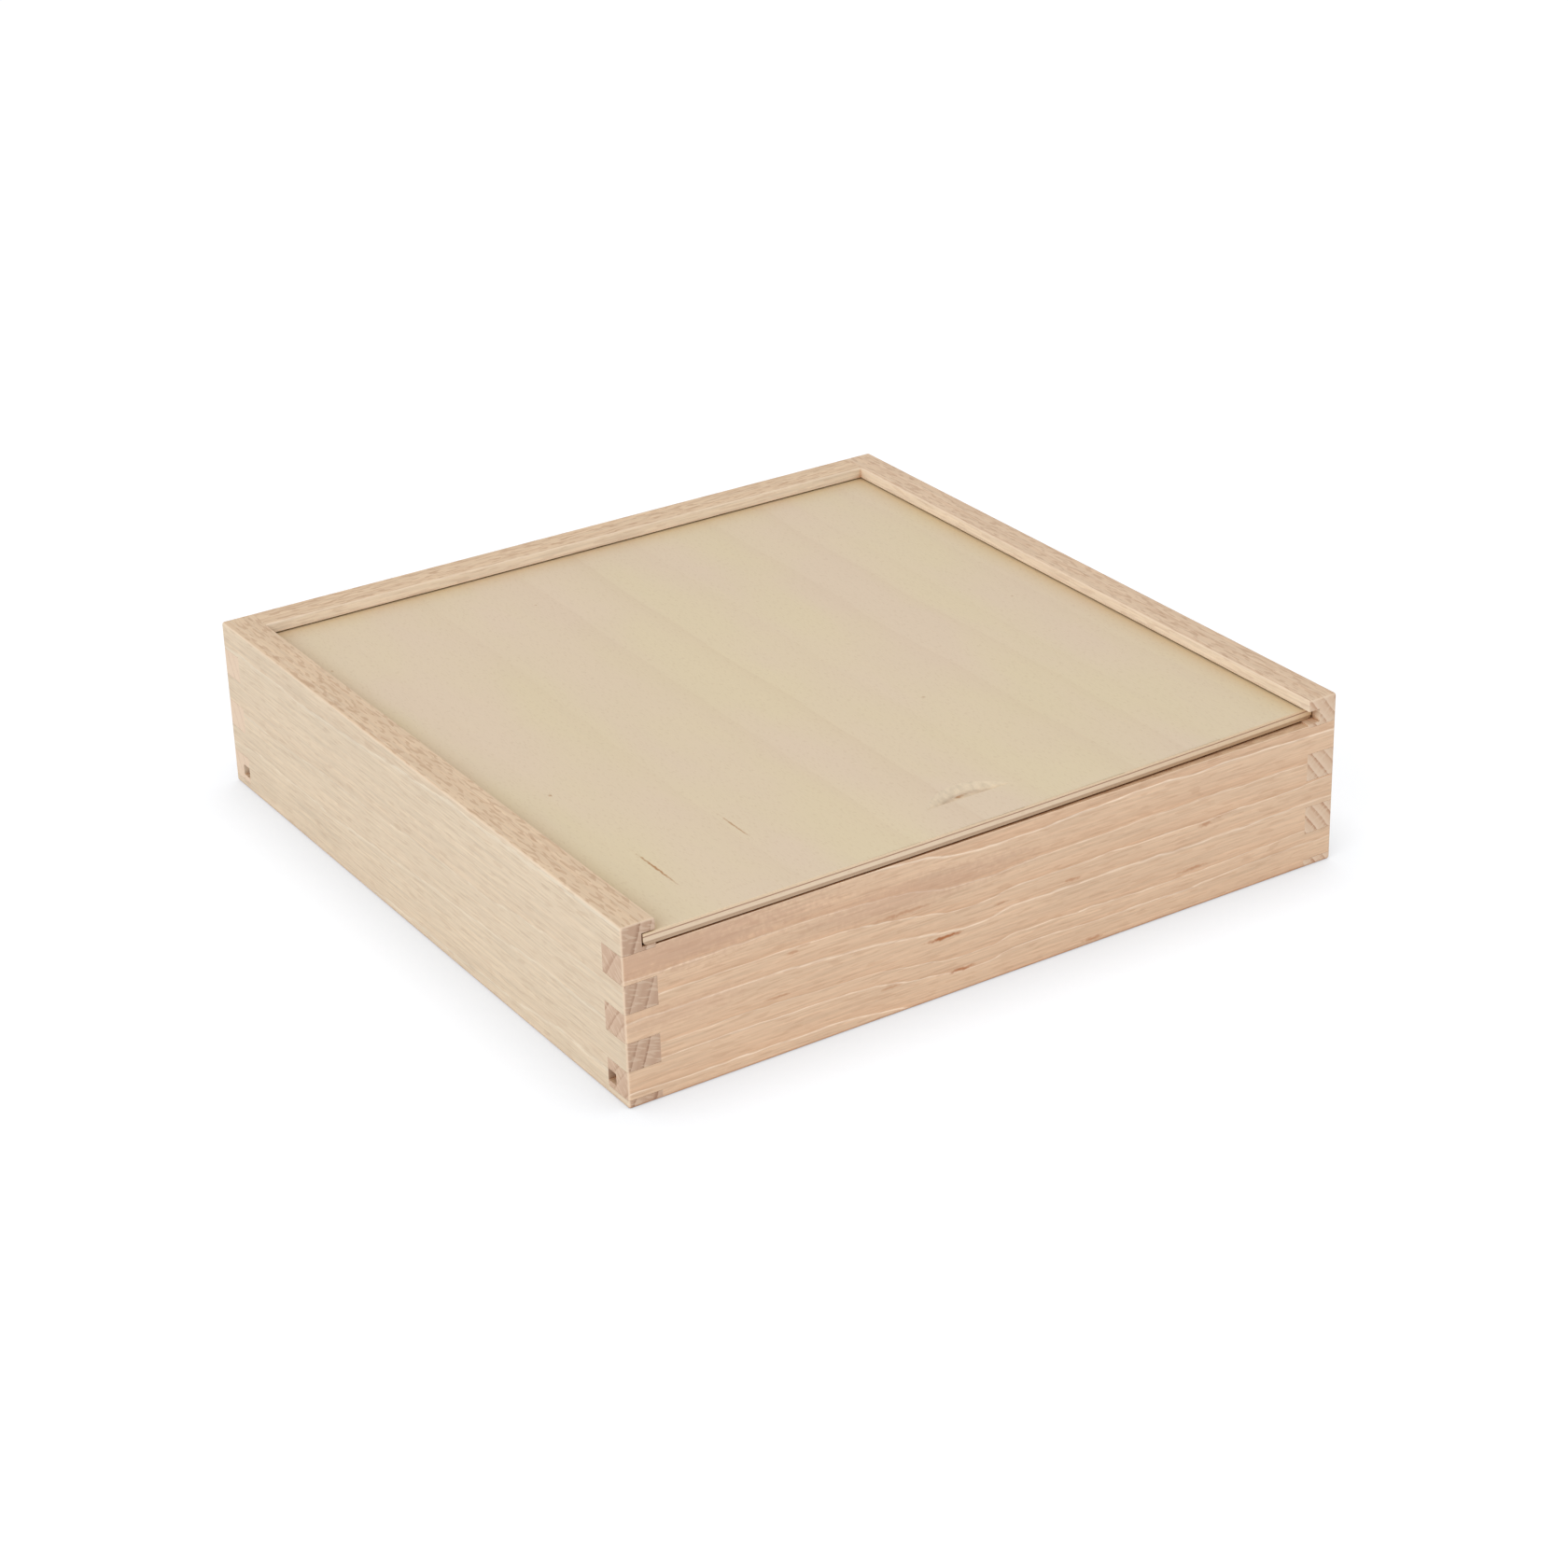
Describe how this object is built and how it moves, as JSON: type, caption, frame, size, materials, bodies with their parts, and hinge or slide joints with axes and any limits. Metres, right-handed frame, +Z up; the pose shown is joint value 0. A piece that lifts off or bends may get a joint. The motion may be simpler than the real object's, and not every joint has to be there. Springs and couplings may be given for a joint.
{
  "type": "sliding lid wooden box",
  "caption": "Flat square finger-jointed wooden box with a plywood bottom and a plywood lid that slides out of grooves to the front.",
  "frame": {"origin": "on the surface that the box stands on, under the middle of the box", "axes": "+X to the right as seen from the front, +Y from the front to the back, +Z up; the lid slides out towards -Y"},
  "size_m": [0.276, 0.276, 0.062],
  "materials": {
    "beech": "sanded bare wood",
    "birch_veneer": "sanded bare wood",
    "birch_core": "sawn bare wood"
  },
  "bodies": {
    "box": {"left_wall": "beech", "right_wall": "beech", "front_wall": "beech", "back_wall": "beech", "bottom_face_veneer": "birch_veneer", "bottom_core": "birch_core", "bottom_back_veneer": "birch_veneer"},
    "lid": {"lid_face_veneer": "birch_veneer", "lid_core": "birch_core", "lid_back_veneer": "birch_veneer"}
  },
  "joints": [
    {"name": "lid_slide", "type": "slide", "parent": "box", "child": "lid", "axis": [0, -1, 0], "range_m": [0, 0.27]}
  ]
}
